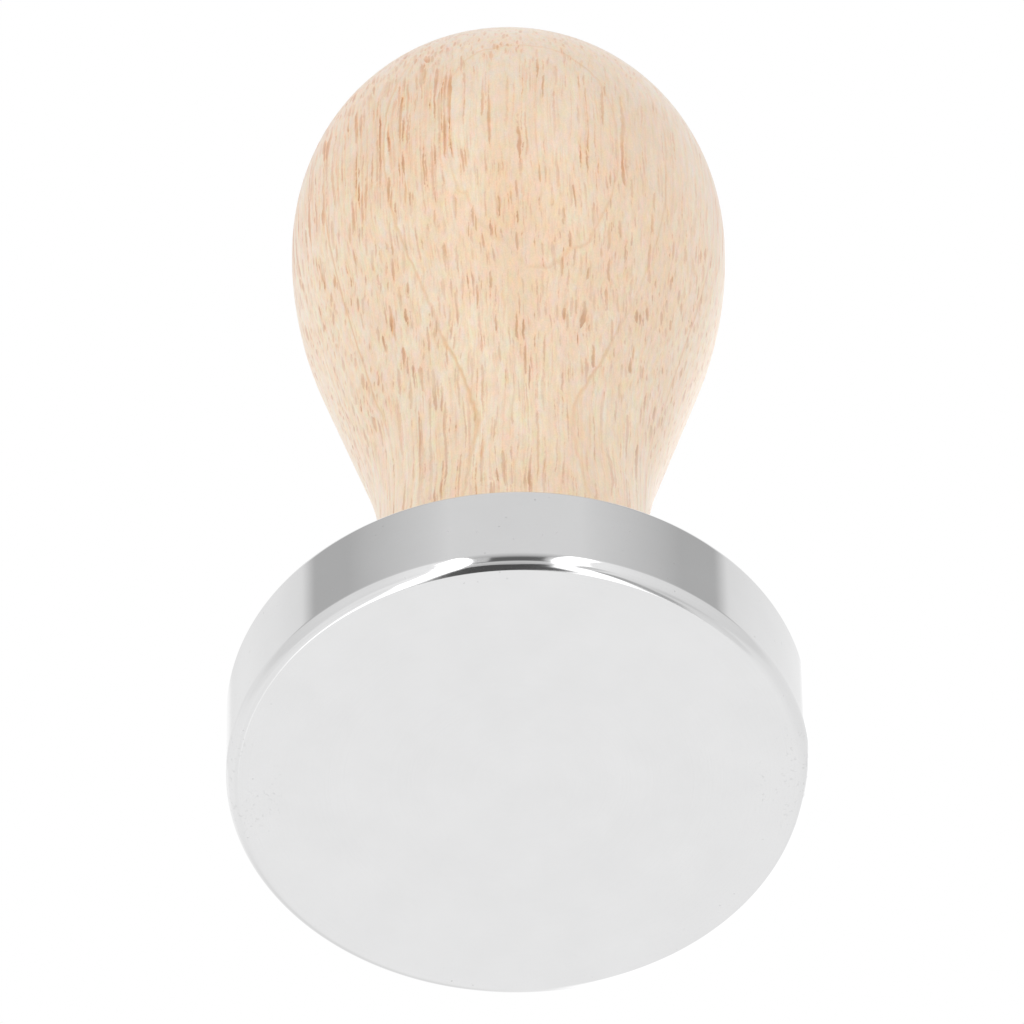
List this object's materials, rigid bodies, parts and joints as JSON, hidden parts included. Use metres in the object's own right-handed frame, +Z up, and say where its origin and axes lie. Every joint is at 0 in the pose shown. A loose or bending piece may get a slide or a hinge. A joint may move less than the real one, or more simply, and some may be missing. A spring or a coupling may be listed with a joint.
{
  "type": "espresso tamper",
  "caption": "Espresso tamper with a round flat polished steel base and a pear-shaped turned wooden handle that unscrews from the base's stud.",
  "frame": {"origin": "centre of the flat tamping face, which is the lowest face of the part", "axes": "+Z up the handle's axis, from the tamping face to the dome; X and Y are equivalent"},
  "size_m": [0.051, 0.051, 0.0941],
  "materials": {
    "polished_steel": "polished stainless steel",
    "stud_steel": "rolled thread, bright",
    "washer_rubber": "matt black",
    "insert_brass": "machined",
    "lacquered_wood": "clear satin lacquer on pale hardwood"
  },
  "bodies": {
    "base": {"tamper_base": "polished_steel", "handle_stud": "stud_steel"},
    "washer": {"seat_washer": "washer_rubber"},
    "handle": {"handle": "lacquered_wood", "threaded_insert": "insert_brass"}
  },
  "joints": [
    {"name": "handle_turn", "type": "hinge", "parent": "base", "child": "washer", "pos_m": [0, 0, 0.02], "axis": [0, 0, 1], "range_deg": [0, 3420]},
    {"name": "handle_lift", "type": "slide", "parent": "washer", "child": "handle", "axis": [0, 0, 1], "range_m": [0, 0.01188]}
  ],
  "couplings": [
    {"joint": "handle_lift", "follows": "handle_turn", "m_per_rad": 0.00019894}
  ]
}
